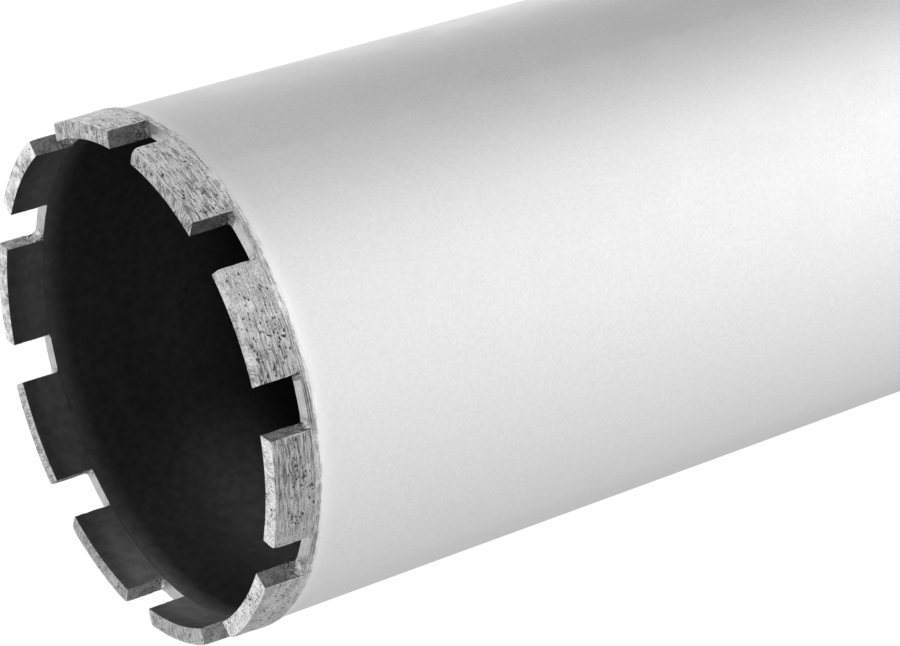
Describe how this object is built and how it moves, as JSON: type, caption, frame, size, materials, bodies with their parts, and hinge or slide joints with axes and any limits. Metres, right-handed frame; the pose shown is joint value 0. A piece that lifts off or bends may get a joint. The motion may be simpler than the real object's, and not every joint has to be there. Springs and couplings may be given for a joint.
{
  "type": "diamond core bit",
  "caption": "Hollow steel barrel with ground diamond segments round its open end and a closed rear end with a threaded hub, for drilling round holes in concrete.",
  "frame": {"origin": "centre of the hub's end face, which the bit stands on and which seats on the drill spindle's shoulder", "axes": "+Z along the barrel from the hub to the cutting end; +X through the middle of the first segment's even place"},
  "size_m": [0.112, 0.1118, 0.493],
  "materials": {
    "barrel_paint": "silver aluminium paint, fine sparkle, satin",
    "ground_steel": "bare steel, ground round the axis",
    "sintered_metal": "sintered metal, ground outside, pitted",
    "filler_metal": "flowed filler metal, smooth and bright",
    "hub_steel": "turned steel",
    "weld_metal": "as-welded steel bead"
  },
  "bodies": {
    "root": {"barrel": "barrel_paint", "crown_ring": "ground_steel", "segment_01": "sintered_metal", "filler_01": "filler_metal", "segment_02": "sintered_metal", "filler_02": "filler_metal", "segment_03": "sintered_metal", "filler_03": "filler_metal", "segment_04": "sintered_metal", "filler_04": "filler_metal", "segment_05": "sintered_metal", "filler_05": "filler_metal", "segment_06": "sintered_metal", "filler_06": "filler_metal", "segment_07": "sintered_metal", "filler_07": "filler_metal", "segment_08": "sintered_metal", "filler_08": "filler_metal", "segment_09": "sintered_metal", "filler_09": "filler_metal", "segment_10": "sintered_metal", "filler_10": "filler_metal", "end_plate": "barrel_paint", "rim_weld": "barrel_paint", "threaded_hub": "hub_steel", "hub_weld": "weld_metal"}
  },
  "joints": []
}
